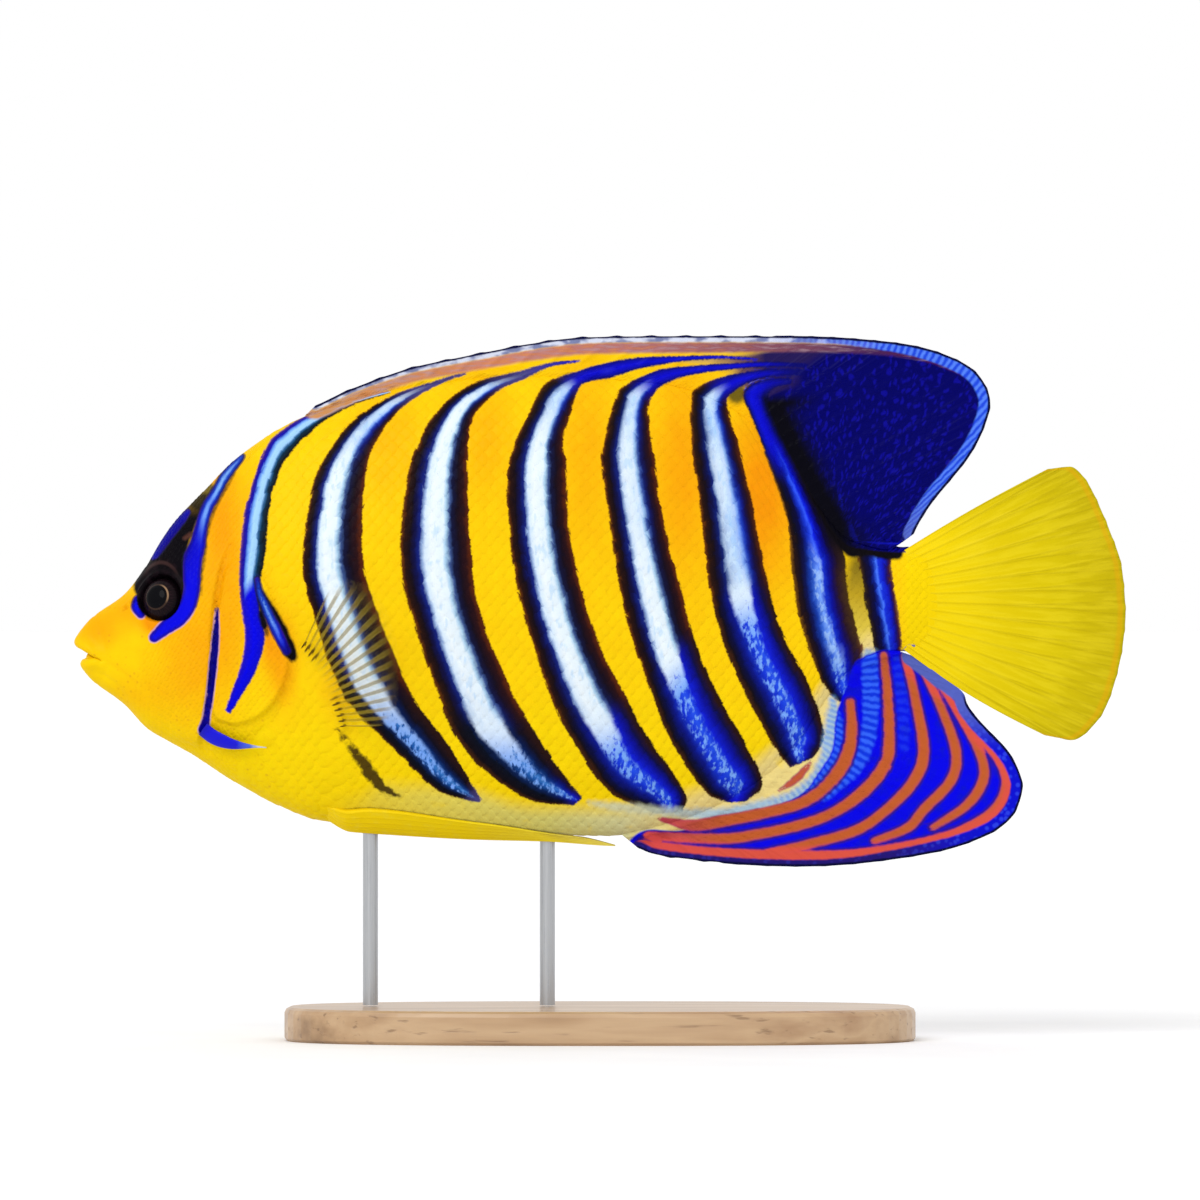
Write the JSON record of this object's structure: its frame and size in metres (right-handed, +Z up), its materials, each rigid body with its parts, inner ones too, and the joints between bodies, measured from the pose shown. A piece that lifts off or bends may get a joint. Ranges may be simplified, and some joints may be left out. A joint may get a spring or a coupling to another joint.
{
  "type": "regal angelfish display model",
  "caption": "Life-size still model of a striped reef fish with spread tail, back and belly fins, held level on a flat oval base by slim rods.",
  "frame": {"origin": "centre of the whole model seen from above, on the underside of the display base", "axes": "+Z up; the fish faces -X with its tail to +X; its left flank, the one in the picture, faces -Y"},
  "size_m": [0.22, 0.0742, 0.1474],
  "materials": {
    "yellow": "scaled skin with a wet sheen",
    "head_yellow": "smooth skin with a wet sheen",
    "royal_blue": "scaled skin with a wet sheen",
    "deep_blue": "fin membrane over rays",
    "tail_yellow": "fin membrane over rays",
    "clear_fin": "see-through fin membrane over rays",
    "eye": "clear and polished",
    "oak": "satin lacquer",
    "steel": "satin"
  },
  "bodies": {
    "root": {"head": "head_yellow", "torso": "yellow", "tail_stalk": "royal_blue", "gill_cover_left": "head_yellow", "gill_cover_right": "head_yellow", "cheek_spine_left": "royal_blue", "cheek_spine_right": "royal_blue", "eye_left": "eye", "eye_right": "eye", "dorsal_fin": "deep_blue", "anal_fin": "royal_blue", "tail_fin": "tail_yellow", "pectoral_fin_left": "clear_fin", "pectoral_fin_right": "clear_fin", "pelvic_fin_left": "yellow", "pelvic_fin_right": "yellow", "stand_base": "oak", "stand_rod_front": "steel", "stand_rod_rear": "steel"}
  },
  "joints": []
}
